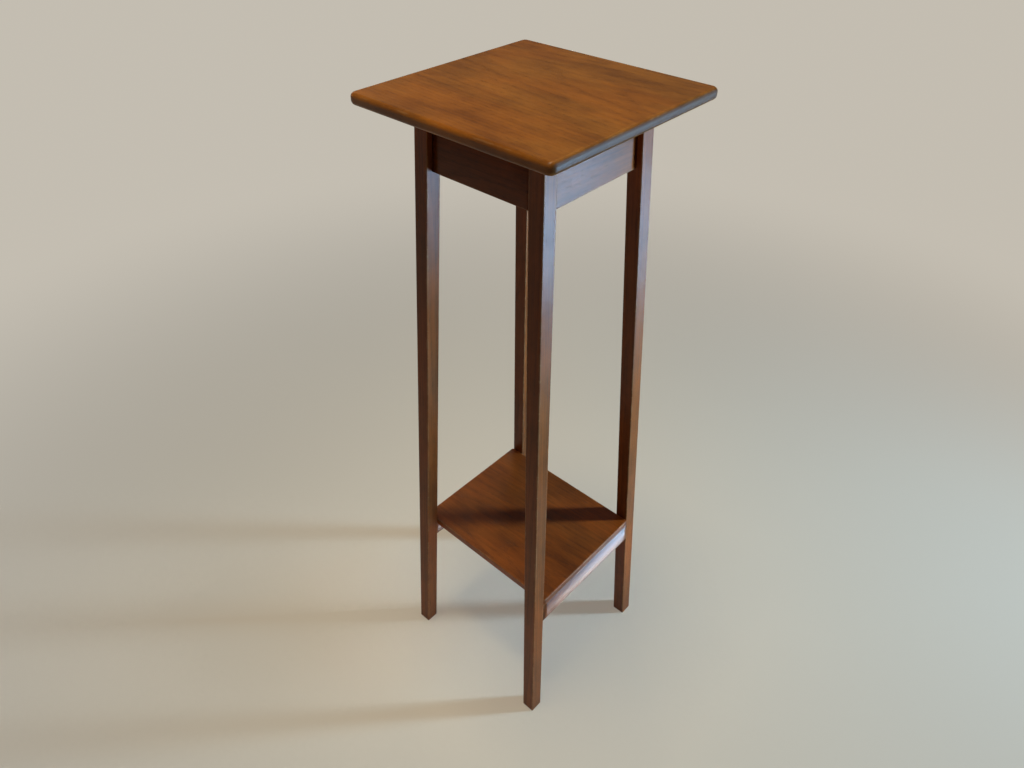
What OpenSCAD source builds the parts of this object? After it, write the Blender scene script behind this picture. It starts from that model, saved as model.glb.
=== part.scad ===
// Tall square plant stand: four splayed legs, an apron frame under a nosed top,
// and a low shelf that lies on two rails between the legs.
// Millimetres, +Z up. Origin on the floor, at the centre of the four feet.
// -Y is the front, +X is the right-hand side.

/* [Top board] */
// Height of the top surface above the floor
stand_h = 915; // [600:5:1200]
// Side of the square top board
top_w = 272; // [220:1:420]
// Thickness of the top board
top_t = 13; // [11:0.5:30]
// Radius worked on both arrises of the top's edge
nose_r = 5; // [1:0.5:5.4]
// Radius of the top's corners, seen from above
top_corner_r = 8; // [6:0.5:30]

/* [Legs] */
// Side of the square leg section
leg_w = 20; // [18:0.5:40]
// Width over the legs where they meet the top
frame_w = 178; // [150:1:215]
// Width over the feet on the floor
foot_spread = 265; // [180:1:400]
// Radius of the softened leg arrises
leg_arris_r = 1.2; // [0.4:0.1:2]

/* [Apron] */
// Depth of the four aprons
apron_d = 70; // [50:1:110]
// Thickness of the aprons
apron_t = 11; // [9:0.5:11.2]
// Set-back of the apron faces from the leg faces
apron_set_back = 7.5; // [2:0.5:7.5]
// Radius of the lower apron arrises
apron_arris_r = 1; // [0.3:0.1:2]

/* [Shelf] */
// Height of the shelf surface above the floor
shelf_h = 254; // [120:1:450]
// Thickness of the shelf board
shelf_t = 11; // [9:0.5:20]
// How far the shelf's ends pass the leg faces
shelf_overhang = 1.5; // [0:0.5:12]
// Radius of the softened shelf arrises
shelf_arris_r = 1; // [0.3:0.1:3]
// Radius of the shelf's corners, seen from above
shelf_corner_r = 3.5; // [3.1:0.1:8]
// Depth of the two shelf rails
rail_d = 35; // [28:1:70]
// Thickness of the shelf rails
rail_t = 12; // [11:0.5:16]

/* [Joints] */
// Thickness of the apron and shelf rail tenons
tenon_t = 6; // [4:0.5:7]
// Distance of the apron tenon from the apron's outer face
tenon_inset = 3; // [1:0.5:4]
// Shoulder below each tenon
tenon_shoulder = 6; // [3:0.5:10]
// Drop of the apron tenon below the top of the leg, closed by a haunch
haunch_drop = 14; // [8:0.5:20]
// Length of the haunch in the leg
haunch_l = 3; // [1:0.5:5]
// Length of the shelf rail tenons
rail_tenon_l = 12; // [6:0.5:14]
// Clearance round each tenon in its mortise
joint_gap = 0.1; // [0.05:0.05:0.3]
// Clearance between the shelf and the legs
shelf_gap = 0.25; // [0.1:0.05:1]

/* [Corner blocks and screws] */
// Length of a corner block along each apron
block_leg = 34; // [28:1:45]
// Height of the corner blocks
block_h = 22; // [18:1:40]
// Distance of the block's screw from the two apron faces
block_screw_in = 12; // [10:0.5:14]
// Distance of the shelf screws from the legs, along the rail
shelf_screw_end = 40; // [20:1:50]
// Shank diameter of the screws
screw_d = 3.6; // [3:0.1:4.5]
// Head diameter of the screws
screw_head_d = 6.8; // [5.5:0.1:7.5]
// How far the screws go into the board that they hold
screw_bite = 7; // [4:0.5:8]
// Depth of the sunk hole under a shelf screw's head
shelf_screw_sink = 12; // [4:1:18]
// Width of the slot in the screw heads
screw_slot_w = 1; // [0.6:0.1:1.4]
// Clearance of a screw in its hole
screw_gap = 0.15; // [0.05:0.05:0.4]

/* [Hidden] */
$fn = 48;
eps = 0.01;
wood_top = [0.53, 0.32, 0.14];
wood_frame = [0.33, 0.19, 0.10];
wood_shelf = [0.40, 0.22, 0.09];
wood_block = [0.66, 0.52, 0.34];
steel = [0.55, 0.54, 0.52];

leg_h = stand_h - top_t;
// Outward run of a leg face for each millimetre of height, and its angle
splay = (foot_spread - frame_w) / 2 / leg_h;
lean = atan(splay);
// Half the width of a leg, measured level
leg_half = leg_w / 2 * sqrt(1 + splay * splay);
// The legs lean towards the middle along the diagonal
leg_tilt = atan(splay * sqrt(2));
leg_run = leg_h / cos(leg_tilt);
// Spare length past a cut
spare = 20;
shelf_under = shelf_h - shelf_t;
rail_bottom = shelf_under - rail_d;
// Depth of a shelf rail measured along its slope
rail_run = rail_d / cos(lean);
reach = foot_spread + top_w;
screw_slot_depth = 1.2;
screw_tip_l = 5;
screw_tip_r = 0.45;
screw_head_l = (screw_head_d - screw_d) / 2;

// Sides of the frame, as turns from the right-hand side
RIGHT = 0;
BACK = 90;
LEFT = 180;
FRONT = 270;

// A length to the nearest hundredth of a millimetre
function hundredth(x) = round(100 * x) / 100;
// Distance from the middle of the stand to the legs' outer faces at height z
function outer(z) = frame_w / 2 + splay * (leg_h - z);
// The same to the legs' inner faces
function inner(z) = outer(z) - 2 * leg_half;

// ---- profiles -------------------------------------------------------------

// Rectangle w by h, centred, with its corners rounded to r
module rounded_rect(w, h, r) {
    square([w - 2 * r, h], center = true);
    square([w, h - 2 * r], center = true);
    for (x = [-1, 1], y = [-1, 1])
        translate([x * (w / 2 - r), y * (h / 2 - r)]) circle(r);
}

// Board section seen from its end: faces at x = -thick and 0, the lower
// corners rounded to r at y = -deep, the upper end left long for a level cut
module board_section(thick, deep, r) {
    translate([-thick, r - deep]) square([thick, deep - r + spare]);
    translate([r - thick, -deep]) square([thick - 2 * r, deep]);
    for (x = [-thick + r, -r])
        translate([x, r - deep]) circle(r);
}

// ---- placing --------------------------------------------------------------

// Turns a piece that is drawn on the right-hand side to another side
module on_side(side) {
    rotate([0, 0, side]) children();
}

// Stands a piece on the leaning plane of the right-hand leg faces, with its
// origin at height z, X outwards and Z up along the slope
module on_leg_face(z) {
    translate([outer(z), 0, z]) rotate([0, -lean, 0]) children();
}

// Level slab of space from height z0 to z1
module level(z0, z1) {
    translate([-reach / 2, -reach / 2, z0]) cube([reach, reach, z1 - z0]);
}

// Quarter of the stand on the right-hand side, between the two diagonals,
// drawn back from them by cut
module quarter(cut) {
    linear_extrude(leg_h)
        polygon([[cut, 0], [reach, reach - cut], [reach, cut - reach]]);
}

// ---- legs -----------------------------------------------------------------

// Leg bar in the (+X, +Y) corner; a sharp one cuts shoulders to fit it
module leg_bar(r) {
    foot = foot_spread / 2 - leg_half;
    intersection() {
        translate([foot, foot, 0])
            rotate([0, 0, 45]) rotate([0, -leg_tilt, 0]) rotate([0, 0, -45])
                translate([0, 0, -spare])
                    linear_extrude(leg_run + 2 * spare)
                        if (r > 0) rounded_rect(leg_w, leg_w, r);
                        else square(leg_w, center = true);
        level(0, leg_h);
    }
}

// Moves a piece drawn in the (+X, +Y) corner to the corner (sx, sy)
module in_corner(sx, sy) {
    mirror([sx < 0 ? 1 : 0, 0, 0]) mirror([0, sy < 0 ? 1 : 0, 0]) children();
}

module leg(sx, sy) {
    difference() {
        in_corner(sx, sy) leg_bar(leg_arris_r);
        on_side(sx > 0 ? RIGHT : LEFT) {
            apron_tenons(joint_gap);
            rail_tenons(joint_gap);
        }
        on_side(sy > 0 ? BACK : FRONT) apron_tenons(joint_gap);
    }
}

// The two sharp leg bars at the ends of a side
module side_legs() {
    for (sy = [-1, 1]) in_corner(1, sy) leg_bar(0);
}

// ---- aprons ---------------------------------------------------------------

// Leaning board on the right-hand side with its upper edge level at z
module side_board(z, deep, set_back, thick, half_l, r) {
    intersection() {
        on_leg_face(z)
            translate([-set_back, half_l, 0]) rotate([90, 0, 0])
                linear_extrude(2 * half_l)
                    board_section(thick, deep / cos(lean), r);
        level(0, z);
    }
}

// Tenons of the right-hand apron, one haunched core from leg to leg whose
// ends are mitred on the diagonals; grown by gap it cuts the mortises
module apron_tenons(gap) {
    in = apron_set_back + tenon_inset;
    deep = (apron_d - tenon_shoulder) / cos(lean);
    haunch = inner(leg_h) + haunch_l + gap;
    intersection() {
        on_leg_face(leg_h) {
            translate([-in - tenon_t - gap, -reach / 2, -deep - gap])
                cube([tenon_t + 2 * gap, reach, deep - haunch_drop + 2 * gap]);
            translate([-in - tenon_t - gap, -haunch, -haunch_drop])
                cube([tenon_t + 2 * gap, 2 * haunch, haunch_drop + spare]);
        }
        quarter(gap > 0 ? -joint_gap : joint_gap);
    }
}

module apron(side) {
    on_side(side) intersection() {
        union() {
            difference() {
                side_board(leg_h, apron_d, apron_set_back, apron_t,
                           inner(leg_h - apron_d) + leg_w / 2, apron_arris_r);
                side_legs();
            }
            apron_tenons(0);
        }
        level(0, leg_h);
    }
}

// ---- shelf ----------------------------------------------------------------

// Tenons of the right-hand shelf rail, bare on their inner side
module rail_tenons(gap) {
    half_l = inner(shelf_under - rail_d / 2) + rail_tenon_l + gap;
    high = rail_run - 2 * tenon_shoulder;
    on_leg_face(shelf_under)
        translate([-rail_t - gap, -half_l, -tenon_shoulder - high - gap])
            cube([tenon_t + 2 * gap, 2 * half_l, high + 2 * gap]);
}

module shelf_rail(side) {
    on_side(side) difference() {
        union() {
            difference() {
                side_board(shelf_under, rail_d, 0, rail_t,
                           inner(rail_bottom) + leg_w / 2, apron_arris_r);
                side_legs();
            }
            rail_tenons(0);
        }
        shelf_screw_places() {
            screw(shelf_screw_l(), screw_gap);
            translate([0, 0, -shelf_screw_sink - spare])
                cylinder(d = screw_head_d + 2 * screw_gap, h = shelf_screw_sink + spare);
        }
    }
}

// Board w by d by t with rounded plan corners and worked arrises, centred,
// lower face at z = 0
module worked_board(w, d, t, corner, r) {
    translate([0, 0, t / 2]) {
        rotate([90, 0, 90])
            linear_extrude(w - 2 * corner, center = true) rounded_rect(d, t, r);
        rotate([90, 0, 0])
            linear_extrude(d - 2 * corner, center = true) rounded_rect(w, t, r);
        for (x = [-1, 1], y = [-1, 1])
            translate([x * (w / 2 - corner), y * (d / 2 - corner), 0])
                rotate_extrude() intersection() {
                    rounded_rect(2 * corner, t, r);
                    translate([0, -t]) square([corner, 2 * t]);
                }
    }
}

module shelf_board() {
    half_w = hundredth(outer(shelf_h) + shelf_overhang);
    half_d = hundredth(inner(shelf_h) - shelf_gap);
    color(wood_shelf) difference() {
        translate([0, 0, shelf_under])
            worked_board(2 * half_w, 2 * half_d, shelf_t, shelf_corner_r, shelf_arris_r);
        for (side = [LEFT, RIGHT]) on_side(side)
            shelf_screw_places() screw(shelf_screw_l(), screw_gap);
    }
}

// ---- corner blocks --------------------------------------------------------

// Block glued in the (+X, +Y) corner of the apron frame, planed to the
// leaning apron faces and notched round the leg
module corner_block(sx, sy) {
    face = outer(leg_h - block_h) - apron_set_back - apron_t;
    color(wood_block) in_corner(sx, sy) difference() {
        translate([0, 0, leg_h - block_h]) linear_extrude(block_h)
            polygon([[face, face], [face - block_leg, face], [face, face - block_leg]]);
        for (side = [RIGHT, BACK]) on_side(side)
            on_leg_face(leg_h)
                translate([-apron_set_back - apron_t, -reach / 2, -reach / 2])
                    cube(reach);
        leg_bar(0);
        block_screw_place() screw(block_screw_l(), screw_gap);
    }
}

// ---- screws ---------------------------------------------------------------

function block_screw_l() = block_h + screw_bite;
function shelf_screw_l() = rail_run - shelf_screw_sink + screw_bite;

// Place of the screw head's face under the block in the (+X, +Y) corner
module block_screw_place() {
    in = outer(leg_h) - apron_set_back - apron_t - block_screw_in;
    translate([in, in, leg_h - block_h]) children();
}

// Places of the screw heads' faces in the right-hand shelf rail, with Z up
// along the rail's slope
module shelf_screw_places() {
    y_screw = inner(shelf_under) - shelf_screw_end;
    on_leg_face(shelf_under) for (y = [-y_screw, y_screw])
        translate([-rail_t / 2, y, shelf_screw_sink - rail_run]) children();
}

// Countersunk screw along +Z with its head's face at z = 0, grown by gap
module screw(l, gap) {
    rotate_extrude() polygon([
        [0, gap > 0 ? -eps : 0],
        [screw_head_d / 2 + gap, gap > 0 ? -eps : 0],
        [screw_d / 2 + gap, screw_head_l],
        [screw_d / 2 + gap, l - screw_tip_l],
        [screw_tip_r + gap, l + gap],
        [0, l + gap]
    ]);
}

module slotted_screw(l) {
    difference() {
        screw(l, 0);
        translate([-screw_head_d, -screw_slot_w / 2, -eps])
            cube([2 * screw_head_d, screw_slot_w, screw_slot_depth + eps]);
    }
}

module top_screws() {
    color(steel) for (sx = [-1, 1], sy = [-1, 1])
        in_corner(sx, sy) block_screw_place() slotted_screw(block_screw_l());
}

module shelf_screws() {
    color(steel) for (side = [LEFT, RIGHT])
        on_side(side) shelf_screw_places() slotted_screw(shelf_screw_l());
}

// ---- top ------------------------------------------------------------------

module top_board() {
    color(wood_top) difference() {
        translate([0, 0, leg_h])
            worked_board(top_w, top_w, top_t, top_corner_r, nose_r);
        for (sx = [-1, 1], sy = [-1, 1])
            in_corner(sx, sy) block_screw_place() screw(block_screw_l(), screw_gap);
    }
}

// ---- nodes ----------------------------------------------------------------

top_board();
color(wood_frame) leg(-1, -1);  // leg_front_left
color(wood_frame) leg(1, -1);  // leg_front_right
color(wood_frame) leg(-1, 1);  // leg_back_left
color(wood_frame) leg(1, 1);  // leg_back_right
color(wood_frame) apron(FRONT);  // apron_front
color(wood_frame) apron(BACK);  // apron_back
color(wood_frame) apron(LEFT);  // apron_left
color(wood_frame) apron(RIGHT);  // apron_right
color(wood_frame) shelf_rail(LEFT);  // shelf_rail_left
color(wood_frame) shelf_rail(RIGHT);  // shelf_rail_right
shelf_board();
corner_block(-1, -1);  // corner_block_front_left
corner_block(1, -1);  // corner_block_front_right
corner_block(-1, 1);  // corner_block_back_left
corner_block(1, 1);  // corner_block_back_right
top_screws();
shelf_screws();
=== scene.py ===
"""Tall square plant stand of stained hardwood: a nosed top on an apron frame,
four splayed square legs and a low shelf on two rails. -Y is the front and +X
the right-hand side; sizes are in metres."""
from math import atan, cos, pi, radians, sin, sqrt

import bmesh
import bpy
from bpy.props import FloatProperty, FloatVectorProperty, IntProperty, PointerProperty
from mathutils import Matrix, Vector


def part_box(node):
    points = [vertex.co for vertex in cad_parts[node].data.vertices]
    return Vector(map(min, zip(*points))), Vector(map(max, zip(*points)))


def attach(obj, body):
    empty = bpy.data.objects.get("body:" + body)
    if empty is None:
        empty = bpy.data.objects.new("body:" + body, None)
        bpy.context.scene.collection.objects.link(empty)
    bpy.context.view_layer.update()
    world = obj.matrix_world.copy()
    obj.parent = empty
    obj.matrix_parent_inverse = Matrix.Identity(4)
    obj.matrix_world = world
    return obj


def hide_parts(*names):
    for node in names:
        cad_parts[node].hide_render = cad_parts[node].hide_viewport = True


bl_info = {
    "name": "Plant stand",
    "version": (1, 0, 0),
    "blender": (4, 5, 0),
    "location": "View3D > Sidebar > Plant stand",
    "description": "Makes a tall square plant stand with splayed legs and a low shelf",
    "category": "Add Mesh",
}

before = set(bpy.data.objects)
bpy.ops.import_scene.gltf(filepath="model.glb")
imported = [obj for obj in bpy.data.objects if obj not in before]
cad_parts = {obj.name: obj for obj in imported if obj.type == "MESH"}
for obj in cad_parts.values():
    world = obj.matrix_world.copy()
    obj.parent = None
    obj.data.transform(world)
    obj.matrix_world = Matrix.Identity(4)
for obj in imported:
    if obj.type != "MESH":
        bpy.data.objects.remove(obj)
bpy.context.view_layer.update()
BODY = "root"

# Sides of the frame, as turns from the right-hand side, and its corners
SIDES = {"right": 0.0, "back": pi / 2, "left": pi, "front": 1.5 * pi}
CORNERS = {
    "front_left": (-1, -1),
    "front_right": (1, -1),
    "back_left": (-1, 1),
    "back_right": (1, 1),
}
TINY = 1e-6

# Length left on a piece's ends until they are cut
SPARE = 0.02
# Loops cut round the pieces, so that their grain runs evenly: how far apart
# they are, and how far they stay from a piece's ends
BOARD_LOOPS = 0.016
LEG_LOOPS, LEG_LOOPS_CLEAR = 0.022, 0.010
SIDE_LOOPS, SIDE_LOOPS_CLEAR = 0.020, 0.030
FOOT_SEGMENTS = 2

# Run of the fibres in a piece: along it, and a little across and through it
FIBRE_RUN = Vector((1.0, 0.06, 0.03))
# Distance along the tree from one piece's place to the next one's
LOG_STEP = 1.7
# Noise in the stained wood: how fine it is along, across and through the tree
# (cells per metre), its detail and its roughness
WOOD_NOISE = {
    "wander": ((2.2, 14.0, 14.0), 2.0, 0.5),
    "pores": ((95.0, 2500.0, 2500.0), 1.0, 0.5),
    "fibres": ((9.0, 760.0, 760.0), 3.0, 0.6),
    "streaks": ((2.6, 150.0, 150.0), 4.0, 0.6),
    "clouds": ((14.0, 30.0, 30.0), 4.0, 0.6),
    "patches": ((7.0, 16.0, 16.0), 3.0, 0.6),
    "chafing": ((40.0, 110.0, 110.0), 3.0, 0.65),
    "knocks": ((230.0, 70.0, 70.0), 2.0, 0.6),
}
RING_WIDTH = 0.0042
RING_WANDER = 0.012
# Wear starts up to this far from an arris and fades over this distance
WEAR_REACH, WEAR_FADE = 0.0019, 0.0012
# Nicks are whole up to the first distance from an arris, gone at the second
NICKS_WHOLE, NICKS_GONE = 0.0006, 0.0024
# Filled pores and end grain, as a share of the dark stain's colour
DEEP_STAIN = 0.35
# Tint that the patches of stain give to the colour below them
PATCH_TINT = (1.0, 0.82, 0.60)
# Saw marks, as radians of their wave for each metre: one mark in 1.5 mm
SAW_MARKS = 4200.0
TARNISH = (0.110, 0.062, 0.036)
# Depth of the finest relief of each surface
WOOD_RELIEF, SAWN_RELIEF, STEEL_RELIEF, FLOOR_RELIEF = 0.00007, 0.00025, 0.00004, 0.0001

FLOOR_RADIUS, FLOOR_SEGMENTS = 40.0, 96
# The floor starts to fade into the surround at the first distance from its
# middle, by the share given, and has faded at the second
FADE_START, FADE_END, FADE_SHARE = 0.4, 2.0, 0.38
# Height (as the sine of the angle) up to which the surround darkens, and how
# much of its pale tint is left there
BAND_TOP, BAND_SHARE = 0.30, 0.25
SENSOR_WIDTH = 36.0
FARTHEST_SEEN = 100.0
# Soft lights: the tint's name in StandStage, power in watts, width and height,
# middle, point looked at, and spread in degrees
LIGHTS = {
    "right light": ("cool", 36.6, (0.16, 2.0), (1.30, 1.27, 1.08), (0.0, 0.0, 1.08), 140),
    "low light": ("low", 3.4, (0.35, 0.35), (1.16, 0.84, 0.19), (0.0, 0.0, 0.82), 60),
    "leg light": ("cool", 0.045, (0.1, 0.1), (0.66, 0.28, 0.27), (-0.09, -0.09, 0.72), 16),
    "floor glow": ("glow", 0.15, (0.20, 0.12), (0.42, 0.21, 0.03), (0.12, 0.0, 0.15), 52),
    "back light": ("warm", 2.0, (0.5, 0.5), (-1.30, 1.50, 0.30), (0.0, 0.0, 0.70), 60),
    "left light": ("warm", 0.6, (0.8, 1.0), (-2.20, 0.85, 1.20), (0.0, 0.0, 0.45), 120),
    "front light": ("warm", 0.07, (0.8, 0.5), (-0.90, -1.50, 0.30), (0.0, 0.0, 0.33), 34),
    "upper light": ("over", 3.9, (0.6, 0.6), (-0.05, -0.20, 3.00), (-0.06, -0.09, 0.50), 60),
    "shelf light": ("glow", 0.15, (0.16, 0.5), (1.30, 1.27, 1.08), (0.0, 0.0, 0.22), 14),
}


# ---- sizes, finishes and stage ----------------------------------------------

def a_length(name, description, default):
    return FloatProperty(name=name, description=description, default=default,
                         min=0.0, subtype="DISTANCE", unit="LENGTH")


def a_share(name, description, default):
    return FloatProperty(name=name, description=description, default=default,
                         min=0.0, max=1.0, subtype="FACTOR")


def a_colour(name, description, default):
    return FloatVectorProperty(name=name, description=description, default=default,
                               min=0.0, max=1.0, size=3, subtype="COLOR")


class StandSizes(bpy.types.PropertyGroup):
    """Sizes of the stand's pieces"""

    nose_radius: a_length("Nose radius", "Radius worked on the top's edges", 0.005)
    top_corner: a_length("Top corner", "Plan radius of the top's corners", 0.008)
    leg_width: a_length("Leg width", "Side of a leg's square section", 0.020)
    frame_width: a_length("Frame width", "Width over the legs under the top", 0.178)
    leg_arris: a_length("Leg arris", "Rounding of a leg's long edges", 0.0012)
    foot_arris: a_length("Foot arris", "Rounding round the foot of a leg", 0.0008)
    apron_depth: a_length("Apron depth", "Height of the aprons", 0.070)
    apron_thickness: a_length("Apron thickness", "Thickness of the aprons", 0.011)
    apron_set_back: a_length("Apron set-back", "Step from a leg's face to the apron", 0.0075)
    rail_depth: a_length("Rail depth", "Height of the shelf rails", 0.035)
    rail_thickness: a_length("Rail thickness", "Thickness of the shelf rails", 0.012)
    board_arris: a_length("Board arris", "Rounding of the aprons, rails and shelf", 0.001)
    shelf_corner: a_length("Shelf corner", "Plan radius of the shelf's corners", 0.0035)
    arris_segments: IntProperty(name="Arris segments", default=4, min=1, max=12,
                                description="Facets across a small rounded edge")
    nose_segments: IntProperty(name="Nose segments", default=8, min=2, max=24,
                               description="Facets across the top's worked edge")


class StandFinish(bpy.types.PropertyGroup):
    """Colours of the woods, the stain and the screws"""

    top_light: a_colour("Top, light", "Light streaks of the top", (0.39, 0.137, 0.018))
    top_dark: a_colour("Top, dark", "Dark streaks of the top", (0.15, 0.045, 0.006))
    frame_light: a_colour("Frame, light", "Light streaks of the frame", (0.310, 0.083, 0.017))
    frame_dark: a_colour("Frame, dark", "Dark streaks of the frame", (0.100, 0.025, 0.0055))
    shelf_light: a_colour("Shelf, light", "Light streaks of the shelf", (0.44, 0.102, 0.013))
    shelf_dark: a_colour("Shelf, dark", "Dark streaks of the shelf", (0.16, 0.034, 0.005))
    worn: a_colour("Worn wood", "Wood that shows at worn edges", (0.4, 0.2, 0.085))
    block_light: a_colour("Block, light", "Bare wood of the blocks", (0.420, 0.265, 0.125))
    block_dark: a_colour("Block, dark", "Dark bands of the blocks", (0.250, 0.130, 0.052))
    steel: a_colour("Steel", "Dull steel of the screws", (0.300, 0.290, 0.275))


class StandStage(bpy.types.PropertyGroup):
    """Floor, light and camera"""

    floor: a_colour("Floor", "Plain pale floor", (0.87, 0.72, 0.53))
    distance: a_colour("Distance", "Pale tint that the floor and the surround meet in",
                       (0.55, 0.51, 0.44))
    surround: a_colour("Surround", "Even light from all round", (0.95, 0.96, 1.00))
    surround_level: a_share("Surround level", "Strength of the even light", 0.03)
    cool: a_colour("Right-hand light", "Tint of the light on the right", (0.34, 0.64, 1.00))
    low: a_colour("Low light", "Tint of the low light on the right", (0.31, 0.62, 1.00))
    warm: a_colour("Left-hand light", "Tint of the light on the left", (1.00, 0.86, 0.70))
    over: a_colour("Upper light", "Tint of the light above", (1.00, 0.89, 0.64))
    glow: a_colour("Floor glow", "Tint of the light off the floor", (0.88, 0.96, 1.00))
    focal_length: FloatProperty(name="Focal length", default=26.21, min=1.0,
                                description="Focal length on a 36 mm wide sensor",
                                subtype="DISTANCE_CAMERA")
    azimuth: FloatProperty(name="Azimuth", default=radians(42.42), subtype="ANGLE",
                           unit="ROTATION", description="Turn of the camera from the front")
    elevation: FloatProperty(name="Elevation", default=radians(39.21), subtype="ANGLE",
                             unit="ROTATION", description="How far the camera looks down")
    eye: FloatVectorProperty(name="Eye", default=(0.5101, -0.5941, 1.1635),
                             description="Where the camera stands",
                             subtype="TRANSLATION", unit="LENGTH")


# ---- the leaning frame ------------------------------------------------------

class SplayedFrame:
    """Places on the leaning legs and their faces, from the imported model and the
    sizes."""

    def __init__(self, sizes):
        leg_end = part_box("leg_back_right")[1]
        self.leg_h = leg_end.z
        self.shelf_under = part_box("shelf_board")[0].z
        self.leg_w = sizes.leg_width
        self.top_half = sizes.frame_width / 2
        self.foot_half = leg_end.x
        self.splay = (self.foot_half - self.top_half) / self.leg_h
        self.lean = atan(self.splay)
        self.tilt = atan(self.splay * sqrt(2))
        self.leg_half = self.leg_w / 2 * sqrt(1 + self.splay ** 2)
        self.leg_run = self.leg_h / cos(self.tilt)

    def outer(self, z):
        """Distance from the middle to the legs' outer faces at height z."""
        return self.top_half + self.splay * (self.leg_h - z)

    def leg_place(self):
        """Stands a bar on the foot in the right-hand back corner, Z along it."""
        foot = self.foot_half - self.leg_half
        return (Matrix.Translation((foot, foot, 0))
                @ Matrix.Rotation(pi / 4, 4, "Z")
                @ Matrix.Rotation(-self.tilt, 4, "Y")
                @ Matrix.Rotation(-pi / 4, 4, "Z"))

    def side_place(self, z):
        """Plane of the right-hand leg faces at height z, X out and Z up it."""
        return (Matrix.Translation((self.outer(z), 0, z))
                @ Matrix.Rotation(-self.lean, 4, "Y"))

    def leg_cheek(self):
        """Point and normal of the face that the right-hand boards meet on the
        back leg; the normal looks towards the middle of the side."""
        place = self.leg_place()
        normal = place.to_3x3() @ Vector((0, -1, 0))
        return place @ Vector((0, -self.leg_w / 2, 0)), normal


def corner_place(sx, sy):
    """Mirrors the right-hand back corner to the corner (sx, sy)."""
    return Matrix.Diagonal((sx, sy, 1, 1))


# ---- shaping ----------------------------------------------------------------

def new_board(along, across, thick):
    """Plain board, centred: X along, Y across and Z through it."""
    bm = bmesh.new()
    bmesh.ops.create_cube(bm, size=1.0)
    bmesh.ops.scale(bm, vec=(along, across, thick), verts=bm.verts)
    return bm


def edges_where(bm, test):
    """Edges whose two ends both pass the test."""
    return [e for e in bm.edges if all(test(v.co) for v in e.verts)]


def round_edges(bm, edges, radius, segments):
    """Rounds the edges to an arc of the radius."""
    bmesh.ops.bevel(bm, geom=edges, offset=radius, offset_type="OFFSET",
                    segments=segments, profile=0.5, affect="EDGES",
                    clamp_overlap=True, material=-1)


def trim(bm, point, normal):
    """Cuts off what lies beyond the plane, on the side its normal looks to,
    and closes the cut."""
    geometry = bm.verts[:] + bm.edges[:] + bm.faces[:]
    bmesh.ops.bisect_plane(bm, geom=geometry, plane_co=point, plane_no=normal,
                           clear_outer=True, dist=TINY)
    rim = [e for e in bm.edges if e.is_boundary]
    bmesh.ops.holes_fill(bm, edges=rim, sides=0)


def ring_cuts(bm, axis, low, high, step):
    """Cuts loops across the axis between low and high, about step apart."""
    normal = Vector((0, 0, 0))
    normal[axis] = 1
    count = max(1, round((high - low) / step))
    for k in range(count + 1):
        point = normal * (low + (high - low) * k / count)
        geometry = bm.verts[:] + bm.edges[:] + bm.faces[:]
        bmesh.ops.bisect_plane(bm, geom=geometry, plane_co=point,
                               plane_no=normal, dist=TINY)


def move(bm, matrix):
    """Moves the whole shape; a mirrored one has its faces turned outwards again."""
    bmesh.ops.transform(bm, matrix=matrix, verts=bm.verts)
    if matrix.determinant() < 0:
        bmesh.ops.reverse_faces(bm, faces=bm.faces)


def worked_board(along, across, thick, corner, radius, segments):
    """Board with rounded plan corners and rounded upper and lower edges."""
    bm = new_board(along, across, thick)
    upright = [e for e in bm.edges if abs(e.verts[0].co.z - e.verts[1].co.z) > TINY]
    round_edges(bm, upright, corner, segments)
    half = thick / 2
    rim = edges_where(bm, lambda co: co.z > half - TINY)
    rim += edges_where(bm, lambda co: co.z < TINY - half)
    round_edges(bm, rim, radius, segments)
    for axis, size in ((0, along), (1, across)):
        reach = size / 2 - corner
        ring_cuts(bm, axis, -reach, reach, BOARD_LOOPS)
    return bm


# ---- pieces -----------------------------------------------------------------

def log_place(number, pith, slope):
    """Where a piece lay in its tree: its number along it, the pith's place
    across and through the piece, and the pith's slope along the piece."""
    turn = Matrix.Rotation(slope[0], 4, "Y") @ Matrix.Rotation(slope[1], 4, "Z")
    return Matrix.Translation((number * LOG_STEP, -pith[0], -pith[1])) @ turn


def add_vectors(bm, name, give):
    """Gives each vertex a named vector, worked out from its place."""
    layer = bm.verts.layers.float_vector.new(name)
    for vertex in bm.verts:
        vertex[layer] = give(vertex.co)


def finish_piece(bm, name, material, own, half, log, nodes):
    """Makes the piece's object. own turns places in the stand to places in the
    piece, X along its grain; half holds its half sizes there."""
    bmesh.ops.remove_doubles(bm, verts=bm.verts, dist=TINY)
    fibre = (own.inverted().to_3x3() @ FIBRE_RUN).normalized()
    add_vectors(bm, "own", lambda co: own @ co)
    add_vectors(bm, "half", lambda co: half)
    add_vectors(bm, "log", lambda co: log @ (own @ co))
    add_vectors(bm, "fibre", lambda co: fibre)
    for face in bm.faces:
        face.smooth = True
    mesh = bpy.data.meshes.new(name)
    bm.to_mesh(mesh)
    bm.free()
    mesh.materials.append(material)
    piece = bpy.data.objects.new(name, mesh)
    bpy.context.scene.collection.objects.link(piece)
    shade = piece.modifiers.new("Even shading", "WEIGHTED_NORMAL")
    shade.mode = "FACE_AREA"
    shade.weight = 100
    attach(piece, BODY)
    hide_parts(*nodes)
    return piece


def level_board(name, node, wood, worked, log):
    """Makes a board in the place of a level node, its grain from left to right.
    worked holds its plan radius, its edges' radius and their segments."""
    low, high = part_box(node)
    middle, size = (low + high) / 2, high - low
    bm = worked_board(*size, *worked)
    move(bm, Matrix.Translation(middle))
    finish_piece(bm, name, wood, Matrix.Translation(-middle), size / 2, log, [node])


# ---- materials --------------------------------------------------------------

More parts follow.
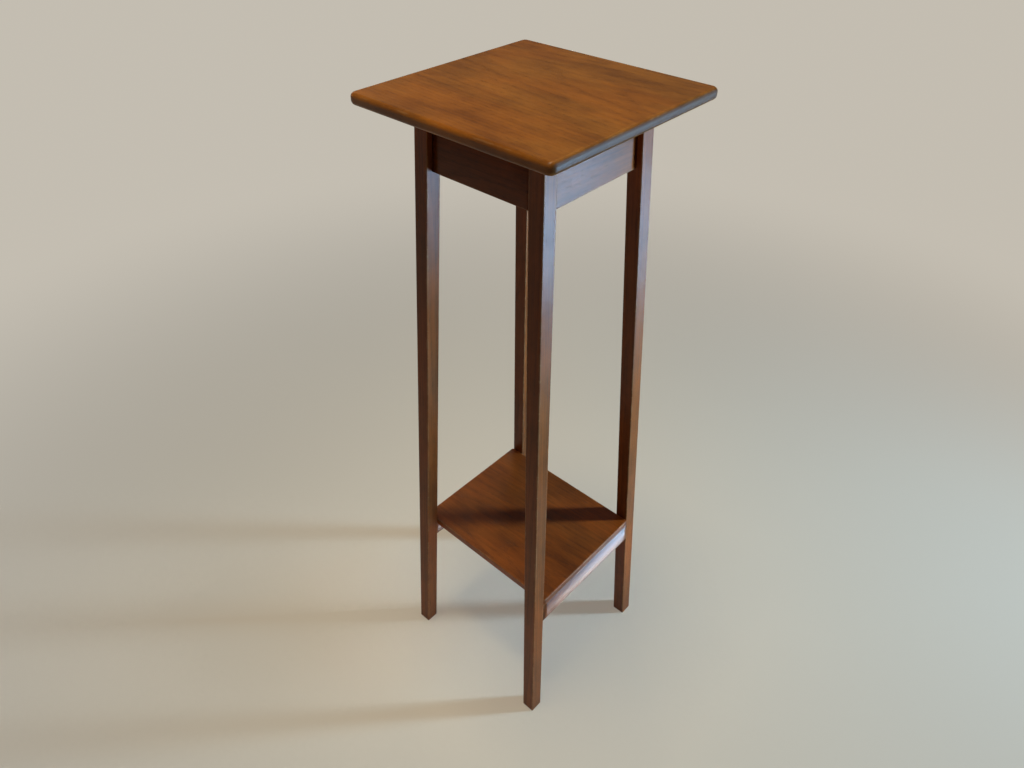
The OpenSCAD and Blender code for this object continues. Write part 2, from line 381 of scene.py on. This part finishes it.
class Web:
    """Short calls for wiring the nodes of a material or a world."""

    def __init__(self, owner):
        owner.use_nodes = True
        self.owner = owner
        self.tree = owner.node_tree
        self.tree.nodes.clear()

    def add(self, kind, inputs=(), **settings):
        node = self.tree.nodes.new("ShaderNode" + kind)
        for key, value in settings.items():
            setattr(node, key, value)
        for key, value in dict(inputs).items():
            self.put(node.inputs[key], value)
        return node

    def put(self, socket, value):
        if isinstance(value, bpy.types.NodeSocket):
            self.tree.links.new(value, socket)
        else:
            socket.default_value = value

    def attribute(self, name):
        return self.add("Attribute", attribute_name=name).outputs["Vector"]

    def math(self, operation, a, b=0.0):
        return self.add("Math", {0: a, 1: b}, operation=operation).outputs[0]

    def vector(self, operation, a, b=(0.0, 0.0, 0.0)):
        node = self.add("VectorMath", {0: a, 1: b}, operation=operation)
        return node.outputs["Value" if operation == "LENGTH" else "Vector"]

    def dot(self, a, b):
        return self.add("VectorMath", {0: a, 1: b}, operation="DOT_PRODUCT").outputs["Value"]

    def parts(self, vector):
        return self.add("SeparateXYZ", {0: vector}).outputs

    def noise(self, vector, stretch, detail=2.0, roughness=0.5):
        spread = self.vector("MULTIPLY", vector, stretch)
        return self.add("TexNoise", {"Vector": spread, "Scale": 1.0, "Detail": detail,
                                     "Roughness": roughness}).outputs

    def blend(self, value, low, high, to_low=0.0, to_high=1.0):
        """Smooth step from to_low at low to to_high at high."""
        node = self.add("MapRange", {"Value": value, "From Min": low, "From Max": high,
                                     "To Min": to_low, "To Max": to_high},
                        interpolation_type="SMOOTHSTEP")
        return node.outputs[0]

    def mix(self, share, a, b, mode="MIX"):
        node = self.add("Mix", data_type="RGBA", blend_type=mode)
        self.put(node.inputs["Factor"], share)
        for socket, value in ((node.inputs[6], a), (node.inputs[7], b)):
            self.put(socket, value if isinstance(value, bpy.types.NodeSocket)
                     else (*value, 1.0))
        return node.outputs[2]

    def ramp(self, value, stops):
        node = self.add("ValToRGB", {0: value})
        points = node.color_ramp.elements
        while len(points) < len(stops):
            points.new(0.5)
        for point, (position, tint) in zip(points, stops):
            point.position = position
            point.color = (*tint, 1.0)
        return node.outputs[0]

    def surface(self, colour, roughness, height, depth, **fixed):
        """Principled shader with the fixed values on its own sockets."""
        bump = self.add("Bump", {"Height": height, "Distance": depth, "Strength": 1.0})
        shader = self.add("BsdfPrincipled", {"Base Color": colour,
                                             "Roughness": roughness,
                                             "Normal": bump.outputs[0]})
        for key, value in fixed.items():
            self.put(shader.inputs[key.replace("_", " ")], value)
        return shader.outputs[0]

    def seen(self):
        """1 where the camera, a reflection or a see-through part looks at it,
        and 0 where it lights something."""
        path = self.add("LightPath").outputs
        mirrored = self.math("MAXIMUM", path["Is Glossy Ray"], path["Is Transmission Ray"])
        return self.math("MAXIMUM", path["Is Camera Ray"], mirrored)

    def close(self, shader, kind="Material"):
        self.add("Output" + kind, {"Surface": shader})
        return self.owner


def new_web(name):
    return Web(bpy.data.materials.new(name))


def between(a, b, share):
    return tuple(x + (y - x) * share for x, y in zip(a, b))


def stained_wood(name, light, dark, worn, streaky, cloudy, shine=0.14, thirst=0.85):
    """Open-pored hardwood under a dark stain and a satin varnish, patterned in
    the tree that each piece was cut from and worn along the piece's edges.
    streaky and cloudy are how bold its grain and its stain's patches are, shine
    how glossy it is, and thirst how dark its end grain is."""
    web = new_web(name)
    log = web.attribute("log")
    deep = tuple(DEEP_STAIN * c for c in dark)

    def noise(pattern, output="Fac"):
        return web.noise(log, *WOOD_NOISE[pattern])[output]

    # growth rings round the pith, wandering along the tree
    wander = web.vector("SUBTRACT", noise("wander", "Color"), (0.5, 0.5, 0.5))
    wander = web.vector("MULTIPLY", wander, (0.0, RING_WANDER, RING_WANDER))
    bent = web.vector("MULTIPLY", web.vector("ADD", log, wander), (0.0, 1.0, 1.0))
    radius = web.vector("LENGTH", bent)
    ring = web.math("FRACT", web.math("MULTIPLY", radius, 1 / RING_WIDTH))
    early = web.blend(ring, 0.02, 0.62, 1.0, 0.0)
    # pores, fibres and cloudy stain
    pore = web.blend(noise("pores"), 0.56, 0.68)
    pore = web.math("MULTIPLY", pore, web.blend(early, 0.0, 1.0, 0.35, 1.0))
    fine, streak = noise("fibres"), noise("streaks")
    tone = web.math("MULTIPLY", web.math("SUBTRACT", noise("clouds"), 0.5), 1.30 * cloudy)
    for grain, amount in ((streak, 0.75), (fine, 0.50), (early, -0.10)):
        grain = web.math("SUBTRACT", grain, 0.5)
        tone = web.math("ADD", tone, web.math("MULTIPLY", grain, amount * streaky))
    tone = web.blend(tone, -0.30, 0.30)
    colour = web.ramp(tone, [(0.0, dark), (0.55, between(dark, light, 0.55)), (1.0, light)])
    patch = web.blend(noise("patches"), 0.38, 0.62)
    colour = web.mix(web.math("MULTIPLY", patch, 0.6), colour, PATCH_TINT, "MULTIPLY")
    colour = web.mix(web.math("MULTIPLY", pore, 0.55), colour, deep)
    # end grain drinks more stain
    facing = web.add("NewGeometry").outputs["Normal"]
    ends = web.math("ABSOLUTE", web.dot(facing, web.attribute("fibre")))
    ends = web.blend(ends, 0.45, 0.95)
    colour = web.mix(web.math("MULTIPLY", ends, thirst), colour, deep)
    # distance to the nearest arris, then the wear along it
    inset = web.vector("SUBTRACT", web.attribute("half"),
                       web.vector("ABSOLUTE", web.attribute("own")))
    x, y, z = web.parts(inset)
    arris = web.math("MAXIMUM", web.math("MINIMUM", x, y),
                    web.math("MINIMUM", web.math("MAXIMUM", x, y), z))
    reach = web.math("MULTIPLY", web.blend(noise("chafing"), 0.35, 0.75), WEAR_REACH)
    wear = web.blend(web.math("SUBTRACT", arris, reach), 0.0, WEAR_FADE, 1.0, 0.0)
    colour = web.mix(web.math("MULTIPLY", wear, 0.40), colour, worn)
    # short nicks and rubs across the arrises
    knock = web.math("MULTIPLY", web.blend(noise("knocks"), 0.60, 0.66),
                     web.blend(arris, NICKS_WHOLE, NICKS_GONE, 1.0, 0.0))
    colour = web.mix(web.math("MULTIPLY", knock, 0.55), colour, worn)
    # duller in the pores, on end grain and where it is worn
    roughness = web.math("MULTIPLY", fine, 0.16)
    roughness = web.math("ADD", roughness, 0.29)
    roughness = web.math("ADD", roughness, web.math("MULTIPLY", pore, 0.10))
    roughness = web.math("ADD", roughness, web.math("MULTIPLY", ends, 0.16))
    roughness = web.math("ADD", roughness, web.math("MULTIPLY", wear, 0.08))
    # fibres stand proud, pores and nicks are sunk
    height = web.math("MULTIPLY", fine, 0.40)
    height = web.math("SUBTRACT", height, web.math("MULTIPLY", pore, 0.8))
    height = web.math("ADD", height, web.math("MULTIPLY", streak, 0.25))
    height = web.math("SUBTRACT", height, web.math("MULTIPLY", knock, 1.6))
    return web.close(web.surface(
        colour, roughness, height, WOOD_RELIEF, IOR=1.5, Specular_IOR_Level=shine,
        Anisotropic=0.85, Anisotropic_Rotation=0.25, Tangent=web.attribute("fibre"),
        Coat_Weight=0.05, Coat_Roughness=0.28, Coat_IOR=1.5))


def bare_wood(name, light, dark):
    """Sawn, unfinished wood with saw marks."""
    web = new_web(name)
    spot = web.add("TexCoord").outputs["Object"]
    streak = web.noise(spot, (60.0, 60.0, 900.0), 4.0, 0.6)["Fac"]
    cloud = web.noise(spot, (30.0, 30.0, 60.0), 3.0)["Fac"]
    tone = web.math("ADD", web.math("MULTIPLY", streak, 0.6), web.math("MULTIPLY", cloud, 0.6))
    colour = web.ramp(web.blend(tone, 0.40, 0.80), [(0.0, dark), (1.0, light)])
    saw = web.math("SINE", web.math("MULTIPLY", web.parts(spot)[0], SAW_MARKS))
    height = web.math("ADD", streak, web.math("MULTIPLY", saw, 0.12))
    roughness = web.blend(tone, 0.40, 0.80, 0.85, 0.70)
    return web.close(web.surface(colour, roughness, height, SAWN_RELIEF, IOR=1.45))


def dull_steel(name, tint):
    """Aged steel with fine turning marks and a little tarnish."""
    web = new_web(name)
    spot = web.add("TexCoord").outputs["Object"]
    grain = web.noise(spot, (1500.0, 1500.0, 1500.0), 3.0)["Fac"]
    tarnish = web.blend(web.noise(spot, (320.0, 320.0, 320.0), 4.0, 0.6)["Fac"], 0.45, 0.65)
    colour = web.mix(tarnish, tint, TARNISH)
    roughness = web.blend(grain, 0.3, 0.7, 0.34, 0.52)
    return web.close(web.surface(colour, roughness, grain, STEEL_RELIEF, Metallic=0.9))


# ---- operators --------------------------------------------------------------

class STAND_OT_top(bpy.types.Operator):
    """Makes the top: one square board with nosed edges, its grain from left to right"""

    bl_idname = "plant_stand.top"
    bl_label = "Top"

    def execute(self, context):
        sizes, finish = context.scene.stand_sizes, context.scene.stand_finish
        wood = stained_wood("stained top", finish.top_light, finish.top_dark, finish.worn,
                            streaky=0.42, cloudy=0.58, shine=0.2)
        level_board("top", "top_board", wood,
                    (sizes.top_corner, sizes.nose_radius, sizes.nose_segments),
                    log_place(1, (0.05, -0.14), (0.05, 0.02)))
        return {"FINISHED"}


class STAND_OT_legs(bpy.types.Operator):
    """Makes the four splayed square legs, cut level at the floor and the top"""

    bl_idname = "plant_stand.legs"
    bl_label = "Legs"

    def execute(self, context):
        sizes = context.scene.stand_sizes
        stand = SplayedFrame(sizes)
        wood = frame_wood(context)
        run = stand.leg_run
        reach = run / 2 - LEG_LOOPS_CLEAR
        # X along the leg becomes Z up it, with the foot at the origin
        upright = Matrix((
            (0, 1, 0, 0),
            (0, 0, 1, 0),
            (1, 0, 0, run / 2),
            (0, 0, 0, 1)))
        for count, (corner, (sx, sy)) in enumerate(CORNERS.items()):
            bm = new_board(run + 2 * SPARE, stand.leg_w, stand.leg_w)
            long_edges = [e for e in bm.edges if abs(e.verts[0].co.x - e.verts[1].co.x) > TINY]
            round_edges(bm, long_edges, sizes.leg_arris, sizes.arris_segments)
            ring_cuts(bm, 0, -reach, reach, LEG_LOOPS)
            lift = stand.leg_place() @ upright
            move(bm, lift)
            trim(bm, (0, 0, 0), (0, 0, -1))
            trim(bm, (0, 0, stand.leg_h), (0, 0, 1))
            foot = edges_where(bm, lambda co: co.z < TINY)
            round_edges(bm, foot, sizes.foot_arris, FOOT_SEGMENTS)
            mirror = corner_place(sx, sy)
            move(bm, mirror)
            finish_piece(bm, "post_" + corner, wood, (mirror @ lift).inverted(),
                         Vector((run / 2, stand.leg_w / 2, stand.leg_w / 2)),
                         log_place(3 + count, (0.055 - 0.03 * count, 0.03 + 0.012 * count),
                                   (0.012, -0.01)), ["leg_" + corner])
        return {"FINISHED"}


def side_board(stand, z, depth, set_back, thick, radius, segments):
    """Board between the right-hand legs with its upper edge level at z, and
    the matrix that turns places in the stand to places in the board."""
    deep = depth / cos(stand.lean)
    point, normal = stand.leg_cheek()
    half_length = stand.outer(z - depth)
    bm = new_board(2 * half_length, deep + SPARE, thick)
    move(bm, Matrix.Translation((0, SPARE / 2, 0)))
    lower = edges_where(bm, lambda co: co.y < TINY - deep / 2)
    lower = [e for e in lower if abs(e.verts[0].co.x - e.verts[1].co.x) > TINY]
    round_edges(bm, lower, radius, segments)
    reach = half_length - SIDE_LOOPS_CLEAR
    ring_cuts(bm, 0, -reach, reach, SIDE_LOOPS)
    # X along, Y up the slope and Z outwards
    to_side = stand.side_place(z) @ Matrix((
        (0, 0, 1, -set_back - thick / 2),
        (1, 0, 0, 0),
        (0, 1, 0, -deep / 2),
        (0, 0, 0, 1)))
    move(bm, to_side)
    trim(bm, (0, 0, z), (0, 0, 1))
    trim(bm, point, -normal)
    trim(bm, (point.x, -point.y, point.z), (-normal.x, normal.y, -normal.z))
    ends = [v.co.y for v in bm.verts]
    return bm, to_side, Vector((max(ends), deep / 2, thick / 2))


class STAND_OT_aprons(bpy.types.Operator):
    """Makes the four aprons, shouldered to the legs under the top"""

    bl_idname = "plant_stand.aprons"
    bl_label = "Aprons"

    def execute(self, context):
        sizes = context.scene.stand_sizes
        stand = SplayedFrame(sizes)
        for count, (side, turn) in enumerate(SIDES.items()):
            bm, to_side, half = side_board(
                stand, stand.leg_h, sizes.apron_depth, sizes.apron_set_back,
                sizes.apron_thickness, sizes.board_arris, sizes.arris_segments)
            to_stand = Matrix.Rotation(turn, 4, "Z")
            move(bm, to_stand)
            finish_piece(bm, "apron_board_" + side, frame_wood(context),
                         (to_stand @ to_side).inverted(), half,
                         log_place(11 + count, (0.05 - 0.03 * count, -0.05), (0.05, 0.02)),
                         ["apron_" + side])
        return {"FINISHED"}


class STAND_OT_shelf_rails(bpy.types.Operator):
    """Makes the two rails that carry the shelf, flush with the legs"""

    bl_idname = "plant_stand.shelf_rails"
    bl_label = "Shelf rails"

    def execute(self, context):
        sizes, finish = context.scene.stand_sizes, context.scene.stand_finish
        stand = SplayedFrame(sizes)
        wood = stained_wood("stained rails", finish.frame_light, finish.frame_dark,
                            finish.worn, streaky=0.5, cloudy=0.3, shine=0.72)
        for count, side in enumerate(("right", "left")):
            bm, to_side, half = side_board(
                stand, stand.shelf_under, sizes.rail_depth, 0.0,
                sizes.rail_thickness, sizes.board_arris, sizes.arris_segments)
            to_stand = Matrix.Rotation(SIDES[side], 4, "Z")
            move(bm, to_stand)
            finish_piece(bm, "rail_" + side, wood,
                         (to_stand @ to_side).inverted(), half,
                         log_place(21 + count, (0.02, 0.06), (0.04, 0.02)),
                         ["shelf_rail_" + side])
        return {"FINISHED"}


class STAND_OT_shelf(bpy.types.Operator):
    """Makes the shelf that lies on the two rails between the legs"""

    bl_idname = "plant_stand.shelf"
    bl_label = "Shelf"

    def execute(self, context):
        sizes, finish = context.scene.stand_sizes, context.scene.stand_finish
        wood = stained_wood("stained shelf", finish.shelf_light, finish.shelf_dark,
                            finish.worn, streaky=0.55, cloudy=0.6, shine=0.45, thirst=0.7)
        level_board("shelf", "shelf_board", wood,
                    (sizes.shelf_corner, sizes.board_arris, sizes.arris_segments),
                    log_place(31, (-0.06, -0.12), (0.05, -0.02)))
        return {"FINISHED"}


class STAND_OT_corner_blocks(bpy.types.Operator):
    """Finishes the glued corner blocks in bare sawn wood"""

    bl_idname = "plant_stand.corner_blocks"
    bl_label = "Corner blocks"

    def execute(self, context):
        finish = context.scene.stand_finish
        wood = bare_wood("bare block wood", finish.block_light, finish.block_dark)
        for corner in CORNERS:
            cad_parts["corner_block_" + corner].material_slots[0].material = wood
        return {"FINISHED"}


class STAND_OT_screws(bpy.types.Operator):
    """Finishes the slotted screws in dull steel"""

    bl_idname = "plant_stand.screws"
    bl_label = "Screws"

    def execute(self, context):
        steel = dull_steel("dull steel", context.scene.stand_finish.steel)
        for node in ("top_screws", "shelf_screws"):
            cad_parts[node].material_slots[0].material = steel
        return {"FINISHED"}


class STAND_OT_stage(bpy.types.Operator):
    """Makes the pale floor, the soft lights and the camera"""

    bl_idname = "plant_stand.stage"
    bl_label = "Stage"

    def execute(self, context):
        stage = context.scene.stand_stage
        make_floor(stage)
        make_surround(context.scene, stage)
        for name, (tint, *settings) in LIGHTS.items():
            soft_light(name, getattr(stage, tint), *settings)
        make_camera(context.scene, stage)
        context.scene.view_settings.view_transform = "Standard"
        return {"FINISHED"}


def frame_wood(context):
    """Stained wood of the legs and aprons, made once."""
    finish = context.scene.stand_finish
    name = "stained frame"
    return bpy.data.materials.get(name) or stained_wood(
        name, finish.frame_light, finish.frame_dark, finish.worn, streaky=0.6, cloudy=0.4)


def make_floor(stage):
    """Makes the plain pale floor under the stand."""
    bm = bmesh.new()
    bmesh.ops.create_circle(bm, cap_ends=True, segments=FLOOR_SEGMENTS, radius=FLOOR_RADIUS)
    mesh = bpy.data.meshes.new("floor")
    bm.to_mesh(mesh)
    bm.free()
    web = new_web("pale floor")
    spot = web.add("TexCoord").outputs["Object"]
    cloud = web.noise(spot, (1.3, 1.3, 1.3), 3.0)["Fac"]
    darker = tuple(0.96 * c for c in stage.floor)
    colour = web.mix(web.blend(cloud, 0.3, 0.7), darker, stage.floor)
    grain = web.noise(spot, (90.0, 90.0, 90.0), 2.0)["Fac"]
    roughness = web.blend(grain, 0.3, 0.7, 0.75, 0.85)
    shader = web.surface(colour, roughness, grain, FLOOR_RELIEF, Specular_IOR_Level=0.3)
    # seen from afar the floor keeps its shadows and fades into the surround
    fade = web.blend(web.vector("LENGTH", spot), FADE_START, FADE_END, FADE_SHARE, 1.0)
    glow = web.add("Emission", {"Color": (*stage.distance, 1.0), "Strength": 1.0})
    shader = web.add("MixShader", {0: web.math("MULTIPLY", web.seen(), fade), 1: shader,
                                   2: glow.outputs[0]}).outputs[0]
    # the camera looks through it from below
    under = web.math("MULTIPLY", web.add("LightPath").outputs["Is Camera Ray"],
                    web.add("NewGeometry").outputs["Backfacing"])
    shader = web.add("MixShader", {0: under, 1: shader,
                                   2: web.add("BsdfTransparent").outputs[0]}).outputs[0]
    mesh.materials.append(web.close(shader))
    floor = bpy.data.objects.new("floor", mesh)
    bpy.context.scene.collection.objects.link(floor)


def make_surround(scene, stage):
    """Makes the dim even light from all round and the pale distance."""
    web = Web(bpy.data.worlds.new("surround"))
    # looked at, it is pale at the horizon; its light is dim and even
    rise = web.parts(web.add("TexCoord").outputs["Generated"])[2]
    pale = web.math("MULTIPLY", web.seen(), web.blend(rise, 0.0, BAND_TOP, 1.0, BAND_SHARE))
    even = tuple(stage.surround_level * c for c in stage.surround)
    background = web.add("Background", {"Color": web.mix(pale, even, stage.distance)})
    scene.world = web.close(background.outputs[0], "World")


def soft_light(name, tint, power, size, spot, aim, spread):
    """Hangs an area light at spot that looks at aim; the camera doesn't see it."""
    lamp = bpy.data.lights.new(name, "AREA")
    lamp.shape = "RECTANGLE"
    lamp.size, lamp.size_y = size
    lamp.spread = radians(spread)
    lamp.energy = power
    lamp.color = tint
    light = bpy.data.objects.new(name, lamp)
    bpy.context.scene.collection.objects.link(light)
    light.location = spot
    light.rotation_euler = (Vector(aim) - Vector(spot)).to_track_quat("-Z", "Y").to_euler()
    light.visible_camera = False


def make_camera(scene, stage):
    """Stands the camera at the eye, turned level from the azimuth and elevation."""
    lens = bpy.data.cameras.new("camera")
    lens.sensor_width = SENSOR_WIDTH
    lens.lens = stage.focal_length
    lens.clip_end = FARTHEST_SEEN
    camera = bpy.data.objects.new("camera", lens)
    scene.collection.objects.link(camera)
    a, e = stage.azimuth, stage.elevation
    back = Vector((sin(a) * cos(e), -cos(a) * cos(e), sin(e)))
    right = Vector((cos(a), sin(a), 0))
    up = back.cross(right)
    turn = Matrix((right, up, back)).transposed()
    camera.matrix_world = Matrix.Translation(stage.eye) @ turn.to_4x4()
    scene.camera = camera


# ---- panel and run ----------------------------------------------------------

class STAND_PT_panel(bpy.types.Panel):
    """Buttons and settings of the plant stand"""

    bl_idname = "STAND_PT_panel"
    bl_label = "Plant stand"
    bl_space_type = "VIEW_3D"
    bl_region_type = "UI"
    bl_category = "Plant stand"

    def draw(self, context):
        layout = self.layout
        for operator in OPERATORS:
            layout.operator(operator.bl_idname)
        for name in GROUPS:
            group = getattr(context.scene, name)
            box = layout.box()
            for key in group.__annotations__:
                box.prop(group, key)


GROUPS = {"stand_sizes": StandSizes, "stand_finish": StandFinish, "stand_stage": StandStage}
OPERATORS = (
    STAND_OT_top,
    STAND_OT_legs,
    STAND_OT_aprons,
    STAND_OT_shelf_rails,
    STAND_OT_shelf,
    STAND_OT_corner_blocks,
    STAND_OT_screws,
    STAND_OT_stage,
)


def register():
    for part in (*GROUPS.values(), *OPERATORS, STAND_PT_panel):
        bpy.utils.register_class(part)
    for name, group in GROUPS.items():
        setattr(bpy.types.Scene, name, PointerProperty(type=group))


def unregister():
    for name in GROUPS:
        delattr(bpy.types.Scene, name)
    for part in (STAND_PT_panel, *reversed(OPERATORS), *GROUPS.values()):
        bpy.utils.unregister_class(part)


def main():
    register()
    for operator in OPERATORS:
        group, call = operator.bl_idname.split(".")
        getattr(getattr(bpy.ops, group), call)()
    bpy.context.view_layer.update()


if __name__ == "__main__":
    main()
